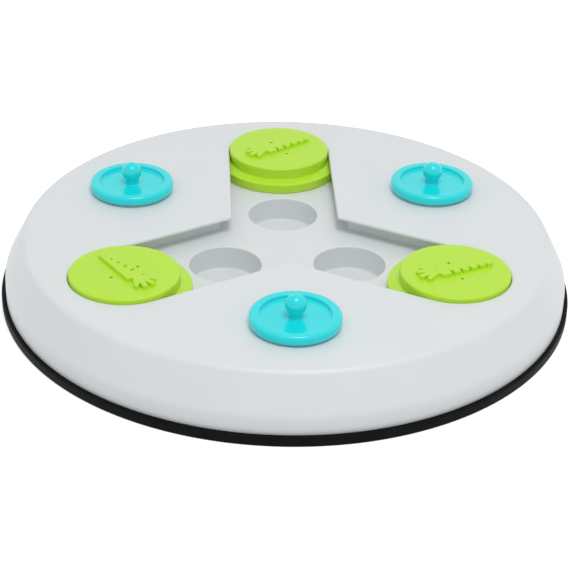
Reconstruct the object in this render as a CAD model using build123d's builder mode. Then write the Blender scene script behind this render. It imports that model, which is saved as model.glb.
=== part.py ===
from build123d import *
import os
from math import hypot, radians, sqrt, tan

# Round slide-and-lift puzzle feeder for dogs, in millimetres. +Z is up and the origin is the
# middle of the underside. Three arms of an open Y-shaped channel lie at 90, 210 and 330
# degrees, each with a slider; three lift-off lids lie between them, at 30, 150 and 270.

os.makedirs("parts", exist_ok=True)

# ---- Driving dimensions -------------------------------------------------------------------
BOARD_R = 150.0  # outside of the rubber ring
ARM_START = 90.0  # direction of the first arm
LID_START = 30.0  # direction of the first lid
ARMS = 3

# Rubber ring round the bottom edge
RING_H = 5.4
RING_SOLE_T = 1.6
RING_SOLE_R = 139.5  # inner edge of the sole
RING_EDGE_R = 0.7
TONGUE_R = 143.4
TONGUE_W = 1.2
TONGUE_H = 0.9

# Top shell: deck and skirt
SKIRT_R = 147.7
BAND_TOP_Z = 15.0  # the upright band at the foot ends here
BAND_TOP_R = 147.6
RIM_R = 137.7  # where the sloping skirt would meet the deck
RIM_Z = 34.0
RIM_FILLET = 4.0
BAND_FILLET = 8.0  # soft bend between the sloping skirt and the band
DECK_Z = 32.75  # middle of the dished deck
DECK_T = 1.7
SKIRT_T = 2.2

# Channel through the deck
SLIDER_D = 96.1  # distance of a closed slider from the middle
CHANNEL_HALF = 28.4
CHANNEL_TIP_R = 2.0
CHANNEL_EDGE_R = 1.2

# Channel tray: the Y-shaped floor, the guide walls that stand on it and the pockets sunk in it
FLOOR_Z = 23.3
FLOOR_T = 2.0
TRAY_HALF = 41.0
TRAY_TIP_R = 4.0
GUIDE_HALF = 34.8  # inner face of a guide wall
GUIDE_T = 1.8
GUIDE_TIP_R = 0.5
GUIDE_GAP = 0.3  # between the top of a guide wall and the deck
EAR_R = 6.0  # round each inner screw
POCKET_IN_D = 37.4  # distance of an inner pocket from the middle
POCKET_R = 18.7
POCKET_FLOOR_Z = 10.2
POCKET_T = 1.8
POCKET_FILLET = 1.2

# Lid wells between the arms
LID_D = 95.3
WELL_R = 17.4
WELL_T = 1.8
WELL_FLOOR_Z = 14.0
WELL_CHAMFER = 1.5
COLLAR_R = 19.4
COLLAR_TOP_Z = 34.7
DRAFT = 1.0  # degrees

# Base plate, its locating wall, ribs and screw bosses
BASE_Z = RING_SOLE_T
BASE_T = 2.0
BASE_R = 147.4
LOCATOR_H = 5.0
LOCATOR_T = 1.8
FIT = 0.3  # gap between housing parts that slip into each other
RIB_T = 1.8
SCREW_OUT_D = 125.0
SCREW_IN_D = 50.0
SHELL_BOSS_R = 4.0
BASE_BOSS_R = 5.5
OUTER_BOSS_Z = 5.6  # the shell's outer bosses stand on the base's here
OUTER_SEAT_Z = 4.0  # the heads of the outer screws bear here
INNER_SEAT_Z = 18.0
SEAT_R = 3.5
SCREW_HOLE_R = 1.7
PILOT_R = 1.45
PILOT_SPARE = 0.2  # depth of a pilot hole beyond the screw's point

# Slider: a button that stands in the channel, on a wider captive foot
BUTTON_R = 28.1
BUTTON_TOP_Z = 35.6
BUTTON_EDGE_R = 0.9
FOOT_R = 34.0
FOOT_TOP_Z = 28.4
NECK_Z = 29.4  # the foot's sloping top meets the button here
FOOT_CHAMFER = 0.4
SLIDE_GAP = 0.2
SLIDER_WALL = 2.2
SCENT_HOLE_R = 0.8
SCENT_HOLE_D = 8.4  # to each side of the carrot

# Carrot relief on the button, drawn along +X
CARROT_H = 2.0
CARROT_TIP_X = 20.5
CARROT_TIP_R = 1.4
CARROT_SHOULDER_X = -8.0
CARROT_HALF = 5.3
CARROT_CROWN_X = -10.6
CARROT_CROWN_HALF = 2.6
CARROT_CROWN_BULGE = 0.6
NOTCH_W = 1.1
NOTCH_SHARE = 0.65  # of the carrot's half width
NOTCH_X = (-3.2, 2.0, 7.0, 12.0, 16.4)
LEAF_LENGTHS = (10.5, 12.0, 12.0, 10.5)
LEAF_ANGLES = (144.0, 168.0, 192.0, 216.0)
LEAF_ROOT_X = -9.1
LEAF_R = 1.5
BUTTON_TURNS = (29.0, 130.0, 17.0)  # each carrot points this way on the closed sliders

# Lid
LID_R = 22.5
LID_Z = COLLAR_TOP_Z
LID_H = 4.8
LID_TOP_EDGE_R = 1.8
LID_FOOT_CHAMFER = 0.6
LID_INNER_CHAMFER = 0.3
FACE_R = 17.5
FACE_DEPTH = 2.0
FACE_T = 2.0
SPIGOT_R = 17.0
SPIGOT_T = 1.8
SPIGOT_H = 5.0
PEG_R = 3.6
BALL_R = 5.3
BALL_Z = 44.3
PEG_FILLET = 0.5

# Screws, pan head
HEAD_R = 2.8
HEAD_TOP_R = 2.3
HEAD_H = 2.0
SHANK_R = 1.4
SHANK_H = 9.0
POINT_R = 0.35
POINT_H = 2.0
CROSS_L = 3.2
CROSS_W = 0.8
CROSS_H = 1.1

# ---- Worked-out sizes ---------------------------------------------------------------------
BASE_TOP_Z = BASE_Z + BASE_T
TRAY_Z = FLOOR_Z - FLOOR_T
CUP_Z = POCKET_FLOOR_Z - POCKET_T
GUIDE_TOP_Z = DECK_Z - DECK_T - GUIDE_GAP
DISH_H = RIM_Z - DECK_Z
DISH_R = (RIM_R**2 + DISH_H**2) / (2 * DISH_H)  # radius of the deck's shallow ball surface
CUT_TOP_Z = 2 * RIM_Z  # cuts from above start here
FACE_Z = LID_Z + LID_H - FACE_DEPTH
NEAR = 0.05  # selects edges at a known height


def deck_height(radius):
    """Height of the dished deck's top at this radius."""
    return DECK_Z + DISH_R - sqrt(DISH_R**2 - radius**2)


def dish_arc(reach, drop):
    """The deck's dished line from the middle to a radius, some way below its top."""
    ThreePointArc(
        (0, DECK_Z - drop),
        (reach / 2, deck_height(reach / 2) - drop),
        (reach, deck_height(reach) - drop),
    )


def on_deck(edge):
    """Whether the middle of an edge lies on the deck's top."""
    middle = edge @ 0.5
    return abs(middle.Z - deck_height(hypot(middle.X, middle.Y))) < NEAR


def corner(section, radius, height):
    """The corner of a section's outline nearest this radius and height."""
    return section.vertices().sort_by_distance((radius, height, 0))[0]


def channel_outline(half_width, tip_radius):
    """Three round-ended arms that meet in the middle."""
    with BuildSketch(mode=Mode.PRIVATE) as outline:
        with PolarLocations(SLIDER_D / 2, ARMS, start_angle=ARM_START):
            SlotCenterToCenter(SLIDER_D, 2 * half_width)
        tips = outline.vertices().sort_by_distance((0, 0, 0))[:ARMS]
        fillet(tips, radius=tip_radius)
    return outline.sketch


def pocket_places():
    """Middle of each pocket in the channel floor, inner ring then outer ring."""
    inner = PolarLocations(POCKET_IN_D, ARMS, start_angle=ARM_START)
    outer = PolarLocations(SLIDER_D, ARMS, start_angle=ARM_START)
    return [place.position for ring in (inner, outer) for place in ring.local_locations]


def screw_places(distance, count, start):
    """Screw positions on one circle."""
    ring = PolarLocations(distance, count, start_angle=start)
    return [place.position for place in ring.local_locations]


OUTER_SCREWS = screw_places(SCREW_OUT_D, 2 * ARMS, 0)
INNER_SCREWS = screw_places(SCREW_IN_D, ARMS, LID_START)
SCREW_SEATS = ((OUTER_SCREWS, OUTER_SEAT_Z), (INNER_SCREWS, INNER_SEAT_Z))


# ---- Top shell: one moulding with the dished deck, the skirt and the three lid wells --------
with BuildPart() as top_shell:
    with BuildSketch(Plane.XZ) as shell_section:
        with BuildLine():
            dish_arc(RIM_R, 0)
            Polyline(
                (RIM_R, RIM_Z),
                (BAND_TOP_R, BAND_TOP_Z),
                (SKIRT_R, BASE_TOP_Z),
                (SKIRT_R - SKIRT_T, BASE_TOP_Z),
                (BAND_TOP_R - SKIRT_T, BAND_TOP_Z - SKIRT_T / 2),
                (RIM_R - SKIRT_T, deck_height(RIM_R - SKIRT_T) - DECK_T),
            )
            dish_arc(RIM_R - SKIRT_T, DECK_T)
            Line((0, DECK_Z - DECK_T), (0, DECK_Z))
        make_face()
        rim = corner(shell_section, RIM_R, RIM_Z)
        fillet(rim, radius=RIM_FILLET)
        bend = corner(shell_section, BAND_TOP_R, BAND_TOP_Z)
        fillet(bend, radius=BAND_FILLET)
    revolve(axis=Axis.Z)

    # Wells and their low collars
    with BuildSketch(Plane.XY.offset(WELL_FLOOR_Z - WELL_T)):
        with PolarLocations(LID_D, ARMS, start_angle=LID_START):
            Circle(WELL_R + WELL_T)
    extrude(amount=DECK_Z - WELL_FLOOR_Z + WELL_T)
    with BuildSketch(Plane.XY.offset(DECK_Z)):
        with PolarLocations(LID_D, ARMS, start_angle=LID_START):
            Circle(COLLAR_R)
    extrude(amount=COLLAR_TOP_Z - DECK_Z)
    with BuildSketch(Plane.XY.offset(WELL_FLOOR_Z)):
        with PolarLocations(LID_D, ARMS, start_angle=LID_START):
            Circle(WELL_R - (COLLAR_TOP_Z - WELL_FLOOR_Z) * tan(radians(DRAFT)))
    extrude(amount=COLLAR_TOP_Z - WELL_FLOOR_Z, taper=-DRAFT, mode=Mode.SUBTRACT)
    floor_edges = top_shell.edges().filter_by_position(Axis.Z, WELL_FLOOR_Z - NEAR, WELL_FLOOR_Z + NEAR)
    chamfer(floor_edges, length=WELL_CHAMFER)

    # Screw bosses: the outer six reach down to the base plate, the inner three to the tray
    boss_rings = ((OUTER_SCREWS, SCREW_OUT_D, OUTER_BOSS_Z), (INNER_SCREWS, SCREW_IN_D, FLOOR_Z))
    for places, distance, foot_z in boss_rings:
        with BuildSketch(Plane.XY.offset(foot_z)):
            with Locations(*places):
                Circle(SHELL_BOSS_R)
        extrude(amount=deck_height(distance) - DECK_T / 2 - foot_z)
    for places, seat_z in SCREW_SEATS:
        with BuildSketch(Plane.XY.offset(seat_z)):
            with Locations(*places):
                Circle(PILOT_R)
        extrude(amount=SHANK_H + POINT_H + PILOT_SPARE, mode=Mode.SUBTRACT)

    # The open channel, with a soft upper edge
    with BuildSketch(Plane.XY.offset(DECK_Z - 2 * DECK_T)):
        add(channel_outline(CHANNEL_HALF, CHANNEL_TIP_R))
    extrude(amount=CUT_TOP_Z, mode=Mode.SUBTRACT)
    upper_edges = top_shell.edges(Select.LAST).filter_by(on_deck)
    fillet(upper_edges, radius=CHANNEL_EDGE_R)


# ---- Channel tray: the Y-shaped floor, its guide walls, six pockets and screw ears ----------
with BuildPart() as channel_tray:
    with BuildSketch(Plane.XY.offset(TRAY_Z)):
        add(channel_outline(TRAY_HALF, TRAY_TIP_R))
        with Locations(*INNER_SCREWS):
            Circle(EAR_R)
    extrude(amount=FLOOR_T)

    # Guide walls that stand on the floor and hold the sliders' feet in line
    with BuildSketch(Plane.XY.offset(TRAY_Z)):
        add(channel_outline(GUIDE_HALF + GUIDE_T, GUIDE_TIP_R))
        add(channel_outline(GUIDE_HALF, GUIDE_TIP_R), mode=Mode.SUBTRACT)
    extrude(amount=GUIDE_TOP_Z - TRAY_Z)

    # Pockets, each a cup that hangs below the floor
    with BuildSketch(Plane.XY.offset(CUP_Z)):
        with Locations(*pocket_places()):
            Circle(POCKET_R + POCKET_T)
    extrude(amount=TRAY_Z + FLOOR_T / 2 - CUP_Z)
    with BuildSketch(Plane.XY.offset(POCKET_FLOOR_Z)):
        with Locations(*pocket_places()):
            Circle(POCKET_R)
    extrude(amount=FLOOR_Z - POCKET_FLOOR_Z, mode=Mode.SUBTRACT)
    floor_edges = channel_tray.edges().filter_by_position(
        Axis.Z, POCKET_FLOOR_Z - NEAR, POCKET_FLOOR_Z + NEAR
    )
    fillet(floor_edges, radius=POCKET_FILLET)

    with BuildSketch(Plane.XY.offset(TRAY_Z)):
        with Locations(*INNER_SCREWS):
            Circle(SCREW_HOLE_R)
    extrude(amount=FLOOR_T, mode=Mode.SUBTRACT)


# ---- Base plate: closes the housing from below and carries the screws -----------------------
with BuildPart() as base_plate:
    with BuildSketch(Plane.XZ):
        with BuildLine():
            wall_out = SKIRT_R - SKIRT_T - FIT
            wall_in = wall_out - LOCATOR_T
            Polyline(
                (0, BASE_Z),
                (BASE_R, BASE_Z),
                (BASE_R, BASE_TOP_Z),
                (wall_out, BASE_TOP_Z),
                (wall_out, BASE_TOP_Z + LOCATOR_H),
                (wall_in, BASE_TOP_Z + LOCATOR_H),
                (wall_in, BASE_TOP_Z),
                (0, BASE_TOP_Z),
                close=True,
            )
        make_face()
    revolve(axis=Axis.Z)

    # A rib under each arm, which the pockets' cups stand on
    with BuildSketch(Plane.XY.offset(BASE_Z)):
        with PolarLocations((SLIDER_D + POCKET_R) / 2, ARMS, start_angle=ARM_START):
            Rectangle(SLIDER_D + POCKET_R, RIB_T)
    extrude(amount=CUP_Z - BASE_Z)

    # Screw bosses: low ones near the rim, tall ones that carry the tray
    for places, boss_top_z in ((OUTER_SCREWS, OUTER_BOSS_Z), (INNER_SCREWS, TRAY_Z)):
        with BuildSketch(Plane.XY.offset(BASE_Z)):
            with Locations(*places):
                Circle(BASE_BOSS_R)
        extrude(amount=boss_top_z - BASE_Z)
    for places, seat_z in SCREW_SEATS:
        with BuildSketch(Plane.XY.offset(BASE_Z)):
            with Locations(*places):
                Circle(SEAT_R)
        extrude(amount=seat_z - BASE_Z, mode=Mode.SUBTRACT)
        with BuildSketch(Plane.XY.offset(BASE_Z)):
            with Locations(*places):
                Circle(SCREW_HOLE_R)
        extrude(amount=FLOOR_Z - BASE_Z, mode=Mode.SUBTRACT)

    # Groove for the rubber ring's tongue
    with BuildSketch(Plane.XY.offset(BASE_Z)):
        Circle(TONGUE_R + TONGUE_W + FIT / 2)
        Circle(TONGUE_R - FIT / 2, mode=Mode.SUBTRACT)
    extrude(amount=TONGUE_H + FIT / 2, mode=Mode.SUBTRACT)


# ---- Rubber ring: sole, outer lip and the tongue that holds it ------------------------------
with BuildPart() as non_slip_ring:
    with BuildSketch(Plane.XZ) as ring_section:
        with BuildLine():
            Polyline(
                (RING_SOLE_R, 0),
                (BOARD_R, 0),
                (BOARD_R, RING_H),
                (SKIRT_R + FIT / 2, RING_H),
                (SKIRT_R + FIT / 2, RING_SOLE_T),
                (TONGUE_R + TONGUE_W, RING_SOLE_T),
                (TONGUE_R + TONGUE_W, RING_SOLE_T + TONGUE_H),
                (TONGUE_R, RING_SOLE_T + TONGUE_H),
                (TONGUE_R, RING_SOLE_T),
                (RING_SOLE_R, RING_SOLE_T),
                close=True,
            )
        make_face()
        lip_edges = [corner(ring_section, BOARD_R, 0), corner(ring_section, BOARD_R, RING_H)]
        fillet(lip_edges, radius=RING_EDGE_R)
    revolve(axis=Axis.Z)


# ---- Slider: hollow button on a captive foot, with a carrot relief and two scent holes ------
with BuildPart() as slider:
    with BuildSketch(Plane.XZ) as slider_section:
        with BuildLine():
            Polyline(
                (0, BUTTON_TOP_Z),
                (BUTTON_R, BUTTON_TOP_Z),
                (BUTTON_R, NECK_Z),
                (FOOT_R, FOOT_TOP_Z),
                (FOOT_R, FLOOR_Z + SLIDE_GAP),
                (FOOT_R - SLIDER_WALL, FLOOR_Z + SLIDE_GAP),
                (FOOT_R - SLIDER_WALL, FOOT_TOP_Z - SLIDER_WALL),
                (BUTTON_R - SLIDER_WALL, FOOT_TOP_Z - SLIDER_WALL),
                (BUTTON_R - SLIDER_WALL, BUTTON_TOP_Z - SLIDER_WALL),
                (0, BUTTON_TOP_Z - SLIDER_WALL),
                close=True,
            )
        make_face()
        button_edge = corner(slider_section, BUTTON_R, BUTTON_TOP_Z)
        fillet(button_edge, radius=BUTTON_EDGE_R)
        foot_edge = corner(slider_section, FOOT_R, FOOT_TOP_Z)
        chamfer(foot_edge, length=FOOT_CHAMFER)
    revolve(axis=Axis.Z)

    # Carrot: a tapering body with notches down one side, and a fan of leaves
    with BuildSketch(Plane.XY.offset(BUTTON_TOP_Z)):
        with BuildLine():
            shoulder_left = (CARROT_SHOULDER_X, CARROT_HALF)
            shoulder_right = (CARROT_SHOULDER_X, -CARROT_HALF)
            tip_left = (CARROT_TIP_X - CARROT_TIP_R, CARROT_TIP_R)
            tip_right = (CARROT_TIP_X - CARROT_TIP_R, -CARROT_TIP_R)
            crown = (CARROT_CROWN_X - CARROT_CROWN_BULGE, 0)
            Line(shoulder_right, tip_right)
            ThreePointArc(tip_right, (CARROT_TIP_X, 0), tip_left)
            Line(tip_left, shoulder_left)
            ThreePointArc(shoulder_left, (CARROT_CROWN_X, CARROT_CROWN_HALF), crown)
            ThreePointArc(crown, (CARROT_CROWN_X, -CARROT_CROWN_HALF), shoulder_right)
        make_face()
        side_slope = (CARROT_TIP_R - CARROT_HALF) / (tip_left[0] - CARROT_SHOULDER_X)
        for x in NOTCH_X:
            half_there = CARROT_HALF + side_slope * (x - CARROT_SHOULDER_X)
            with Locations((x, -half_there)):
                Rectangle(NOTCH_W, 2 * NOTCH_SHARE * half_there, mode=Mode.SUBTRACT)
        for angle, length in zip(LEAF_ANGLES, LEAF_LENGTHS):
            with Locations(Location((LEAF_ROOT_X, 0), angle)):
                with Locations((length / 2, 0)):
                    SlotOverall(length, 2 * LEAF_R)
    extrude(amount=CARROT_H)

    with BuildSketch(Plane.XY.offset(BUTTON_TOP_Z)):
        with Locations((0, SCENT_HOLE_D), (0, -SCENT_HOLE_D)):
            Circle(SCENT_HOLE_R)
    extrude(amount=-2 * SLIDER_WALL, mode=Mode.SUBTRACT)


# ---- Lid: rimmed cap with a dished face, a ball knob and a spigot that drops in the well ----
with BuildPart() as lid:
    with BuildSketch(Plane.XZ) as lid_section:
        with BuildLine():
            Polyline(
                (0, FACE_Z),
                (FACE_R, FACE_Z),
                (FACE_R, LID_Z + LID_H),
                (LID_R, LID_Z + LID_H),
                (LID_R, LID_Z),
                (SPIGOT_R, LID_Z),
                (SPIGOT_R, LID_Z - SPIGOT_H),
                (SPIGOT_R - SPIGOT_T, LID_Z - SPIGOT_H),
                (SPIGOT_R - SPIGOT_T, FACE_Z - FACE_T),
                (0, FACE_Z - FACE_T),
                close=True,
            )
        make_face()
        rim_top = corner(lid_section, LID_R, LID_Z + LID_H)
        fillet(rim_top, radius=LID_TOP_EDGE_R)
        rim_in = corner(lid_section, FACE_R, LID_Z + LID_H)
        chamfer(rim_in, length=LID_INNER_CHAMFER)
        rim_foot = corner(lid_section, LID_R, LID_Z)
        chamfer(rim_foot, length=LID_FOOT_CHAMFER)
    revolve(axis=Axis.Z)
    with Locations((0, 0, FACE_Z)):
        Cylinder(PEG_R, BALL_Z - FACE_Z, align=(Align.CENTER, Align.CENTER, Align.MIN))
    with Locations((0, 0, BALL_Z)):
        Sphere(BALL_R)
    peg_foot = lid.edges().filter_by(GeomType.CIRCLE).sort_by_distance((PEG_R, 0, FACE_Z))[0]
    fillet(peg_foot, radius=PEG_FILLET)


# ---- Screws that hold the base plate and the tray to the shell ------------------------------
with BuildPart() as housing_screws:
    upwards = (Align.CENTER, Align.CENTER, Align.MIN)
    for places, seat_z in SCREW_SEATS:
        with Locations(*[(p.X, p.Y, seat_z - HEAD_H) for p in places]):
            Cone(HEAD_TOP_R, HEAD_R, HEAD_H, align=upwards)
            Box(CROSS_L, CROSS_W, CROSS_H, align=upwards, mode=Mode.SUBTRACT)
            Box(CROSS_W, CROSS_L, CROSS_H, align=upwards, mode=Mode.SUBTRACT)
        with Locations(*[(p.X, p.Y, seat_z) for p in places]):
            Cylinder(SHANK_R, SHANK_H, align=upwards)
        with Locations(*[(p.X, p.Y, seat_z + SHANK_H) for p in places]):
            Cone(SHANK_R, POINT_R, POINT_H, align=upwards)


# ---- Labels, places and files ---------------------------------------------------------------
top_shell.part.label = "top_shell"
export_step(top_shell.part, "parts/top_shell.step")
channel_tray.part.label = "channel_tray"
export_step(channel_tray.part, "parts/channel_tray.step")
base_plate.part.label = "base_plate"
export_step(base_plate.part, "parts/base_plate.step")
non_slip_ring.part.label = "non_slip_ring"
export_step(non_slip_ring.part, "parts/non_slip_ring.step")
housing_screws.part.label = "housing_screws"
export_step(housing_screws.part, "parts/housing_screws.step")

ARM_NAMES = ("rear", "left", "right")
arm_ring = PolarLocations(SLIDER_D, ARMS, start_angle=ARM_START).local_locations
for name, place, turn in zip(ARM_NAMES, arm_ring, BUTTON_TURNS):
    placed = Pos(place.position.X, place.position.Y, 0) * Rot(0, 0, turn) * slider.part
    placed.label = f"slider_{name}"
    export_step(placed, f"parts/slider_{name}.step")

LID_NAMES = ("right", "left", "front")
lid_ring = PolarLocations(LID_D, ARMS, start_angle=LID_START).local_locations
for name, place in zip(LID_NAMES, lid_ring):
    placed = Pos(place.position.X, place.position.Y, 0) * lid.part
    placed.label = f"lid_{name}"
    export_step(placed, f"parts/lid_{name}.step")
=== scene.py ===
from math import asin, atan2, cos, degrees, pi, radians, sin, sqrt, tan

import bmesh
import bpy
import numpy as np
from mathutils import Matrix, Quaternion, Vector
from mathutils.geometry import delaunay_2d_cdt


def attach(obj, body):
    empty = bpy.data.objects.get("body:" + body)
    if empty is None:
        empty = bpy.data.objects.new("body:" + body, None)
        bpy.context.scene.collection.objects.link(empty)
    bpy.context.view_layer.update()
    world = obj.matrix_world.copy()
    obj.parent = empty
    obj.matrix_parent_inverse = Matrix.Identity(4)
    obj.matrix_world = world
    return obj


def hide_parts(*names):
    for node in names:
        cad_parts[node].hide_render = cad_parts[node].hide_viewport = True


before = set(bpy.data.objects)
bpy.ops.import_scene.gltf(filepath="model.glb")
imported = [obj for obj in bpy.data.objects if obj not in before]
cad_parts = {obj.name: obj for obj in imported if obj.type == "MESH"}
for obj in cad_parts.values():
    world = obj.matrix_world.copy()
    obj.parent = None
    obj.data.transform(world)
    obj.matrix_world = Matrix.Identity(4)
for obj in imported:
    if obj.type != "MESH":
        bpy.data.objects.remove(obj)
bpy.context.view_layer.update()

# ---- Base plate -----------------------------------------------------------------------------
# The closed underside, one light grey ABS moulding: a flat disc with a locating wall inside the
# skirt, a groove for the rubber ring, a rib under each arm of the channel, low screw bosses near
# the rim and three tall ones that carry the channel tray. Drawn in millimetres.
MM = 0.001
ARM_TURNS = (90, 210, 330)  # directions of the channel's arms, in degrees
LID_TURNS = (30, 150, 270)
SLIDER_D = 96.1  # middle of an outer pocket, from the middle of the board
POCKET_R = 18.7
BASE_Z = 1.6
BASE_TOP_Z = 3.6
BASE_R = 147.4
LOCATOR_R = 145.2
LOCATOR_T = 1.8
LOCATOR_TOP_Z = 8.6
TONGUE_R = 143.4
TONGUE_W = 1.2
TONGUE_H = 0.9
TONGUE_GAP = 0.15
RIB_T = 1.8
CUP_Z = 8.4  # the pockets' cups stand on the ribs here
SCREW_OUT_D = 125.0
SCREW_IN_D = 50.0
OUTER_BOSS_Z = 5.6
TRAY_Z = 21.3  # underside of the channel tray
OUTER_SEAT_Z = 4.0
INNER_SEAT_Z = 18.0
BASE_BOSS_R = 5.5
SEAT_R = 3.5
SCREW_HOLE_R = 1.7
FINE_EDGE = 0.25  # the least rounding that a mould leaves on an edge
SHARP = 35  # degrees from which an edge shades as an edge
ABS_GREY = "DADEE0"
SINK_SPACING = 35  # width of the slow waves that cooling leaves in a face


def linear(code):
    """An sRGB hex colour as the linear colour that a shader takes."""
    parts = [int(code[i : i + 2], 16) / 255 for i in (0, 2, 4)]
    return [c / 12.92 if c <= 0.04045 else ((c + 0.055) / 1.055) ** 2.4 for c in parts] + [1.0]


def empty_tree(owner):
    """The node tree of a material or world, with nothing in it."""
    owner.use_nodes = True
    owner.node_tree.nodes.clear()
    return owner.node_tree


def add(tree, kind, settings=None, inputs=None):
    """Adds a node: its settings, and its inputs as values or as (node, output name) links."""
    made = tree.nodes.new(kind)
    for key, value in (settings or {}).items():
        setattr(made, key, value)
    for key, value in (inputs or {}).items():
        if isinstance(value, tuple) and isinstance(value[0], bpy.types.Node):
            tree.links.new(value[0].outputs[value[1]], made.inputs[key])
        else:
            made.inputs[key].default_value = value
    return made


def moulded_plastic(name, colour, roughness, grain, grain_depth, sink_depth):
    """Injection-moulded ABS. The mould's spark-eroded grain breaks the gloss up finely, and
    slow waves from cooling (sink) move the reflections a little. The grain's spacing and both
    depths are in millimetres."""
    material = bpy.data.materials.new(name)
    tree = empty_tree(material)
    place = add(tree, "ShaderNodeTexCoord")
    pits = add(
        tree,
        "ShaderNodeTexNoise",
        inputs={"Vector": (place, "Object"), "Scale": 1 / (grain * MM), "Detail": 2.0},
    )
    flow = add(
        tree,
        "ShaderNodeTexNoise",
        inputs={"Vector": (place, "Object"), "Scale": 1 / (SINK_SPACING * MM), "Detail": 3.0},
    )
    # The colour drifts by a percent or two with the flow of the melt
    shade = add(tree, "ShaderNodeValToRGB", inputs={"Fac": (flow, "Fac")})
    base = linear(colour)
    shade.color_ramp.elements[0].position = 0.3
    shade.color_ramp.elements[0].color = [c * 0.985 for c in base[:3]] + [1]
    shade.color_ramp.elements[1].position = 0.7
    shade.color_ramp.elements[1].color = [min(1, c * 1.01) for c in base[:3]] + [1]
    dull = add(
        tree,
        "ShaderNodeMapRange",
        inputs={
            "Value": (pits, "Fac"),
            "From Min": 0.3,
            "From Max": 0.7,
            "To Min": roughness - 0.04,
            "To Max": roughness + 0.06,
        },
    )
    sink = add(
        tree,
        "ShaderNodeBump",
        inputs={"Height": (flow, "Fac"), "Strength": 1.0, "Distance": sink_depth * MM},
    )
    bump = add(
        tree,
        "ShaderNodeBump",
        inputs={
            "Height": (pits, "Fac"),
            "Strength": 1.0,
            "Distance": grain_depth * MM,
            "Normal": (sink, "Normal"),
        },
    )
    shader = add(
        tree,
        "ShaderNodeBsdfPrincipled",
        inputs={
            "Base Color": (shade, "Color"),
            "Roughness": (dull, "Result"),
            "Normal": (bump, "Normal"),
            "IOR": 1.53,
        },
    )
    add(tree, "ShaderNodeOutputMaterial", inputs={"Surface": (shader, "BSDF")})
    return material


def polar(distance, turn):
    """A point this far from the middle, in this direction in degrees."""
    return distance * cos(radians(turn)), distance * sin(radians(turn))


def circle(radius, count, at=(0, 0)):
    """Points round a circle."""
    return [
        (at[0] + radius * cos(2 * pi * i / count), at[1] + radius * sin(2 * pi * i / count))
        for i in range(count)
    ]


def row(bm, points, height):
    """A closed row of vertices over flat points. Height is a number or a function of x and y."""
    return [
        bm.verts.new((x, y, height(x, y) if callable(height) else height)) for x, y in points
    ]


def bridge(bm, first, second):
    """Joins two closed rows of equally many vertices with a band of faces."""
    for i in range(len(first)):
        j = (i + 1) % len(first)
        bm.faces.new((first[i], first[j], second[j], second[i]))


def stack(bm, rows):
    """Joins each row to the next one."""
    for a, b in zip(rows, rows[1:]):
        bridge(bm, a, b)


def fill(bm, rows, height, spacing):
    """Covers the region inside the first row and outside the others with even triangles."""
    flat = [np.array([v.co.xy for v in r]) for r in rows]
    verts = [v for r in rows for v in r]
    edges, start = [], 0
    for r in rows:
        edges += [(start + i, start + (i + 1) % len(r)) for i in range(len(r))]
        start += len(r)
    a = np.concatenate(flat)
    b = np.concatenate([np.roll(f, -1, axis=0) for f in flat])

    def inside(p):
        """Even-odd test of many points against all rows."""
        hits = np.zeros(len(p), int)
        for (ax, ay), (bx, by) in zip(a, b):
            if ay == by:
                continue
            across = (p[:, 1] > min(ay, by)) & (p[:, 1] <= max(ay, by))
            x = ax + (p[:, 1] - ay) * (bx - ax) / (by - ay)
            hits += across & (x > p[:, 0])
        return hits % 2 == 1

    low, high = flat[0].min(0), flat[0].max(0)
    grid = []
    y, odd = low[1] + spacing / 2, False
    while y < high[1]:
        x = low[0] + spacing * (1.0 if odd else 0.5)
        while x < high[0]:
            grid.append((x, y))
            x += spacing
        y += spacing * sqrt(3) / 2
        odd = not odd
    if grid:
        p = np.array(grid)
        p = p[inside(p)]
        if len(p):
            gap = np.sqrt(((p[:, None, :] - a[None, :, :]) ** 2).sum(2)).min(1)
            p = p[gap > 0.55 * spacing]
        verts += [bm.verts.new((x, y, height(x, y) if callable(height) else height)) for x, y in p]
    coords = [v.co.xy for v in verts]
    out, _, faces, origin, _, _ = delaunay_2d_cdt(coords, edges, [], 0, 1e-7)
    middles = np.array([sum((out[i] for i in f), Vector((0, 0))) / 3 for f in faces])
    for f, keep in zip(faces, inside(middles)):
        if keep:
            bm.faces.new([verts[origin[i][0]] for i in f])


def arc(middle, radius, start, end, steps):
    """Points along an arc of a section or outline, from start to end in degrees."""
    turns = [radians(start + (end - start) * i / steps) for i in range(steps + 1)]
    return [(middle[0] + radius * cos(t), middle[1] + radius * sin(t)) for t in turns]


def rounded(corners, steps=5):
    """A section's line with its corners rounded: each corner is (radius, height, rounding)."""
    line = [corners[0][:2]]
    for before, here, after in zip(corners, corners[1:], corners[2:]):
        p, r = Vector(here[:2]), here[2]
        if not r:
            line.append(here[:2])
            continue
        u = (Vector(before[:2]) - p).normalized()
        v = (Vector(after[:2]) - p).normalized()
        half = u.angle(v) / 2
        middle = p + (u + v).normalized() * (r / sin(half))
        one = p + u * (r / tan(half)) - middle
        two = p + v * (r / tan(half)) - middle
        start = atan2(one.y, one.x)
        swing = atan2(one.cross(two), one.dot(two))
        for i in range(steps + 1):
            a = start + swing * i / steps
            line.append((middle.x + r * cos(a), middle.y + r * sin(a)))
    return line + [corners[-1][:2]]


def lathe(bm, section, count, at=(0, 0)):
    """Rows of vertices from turning a section's points about an upright axis."""
    return [row(bm, circle(r, count, at), z) for r, z in section]


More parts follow.
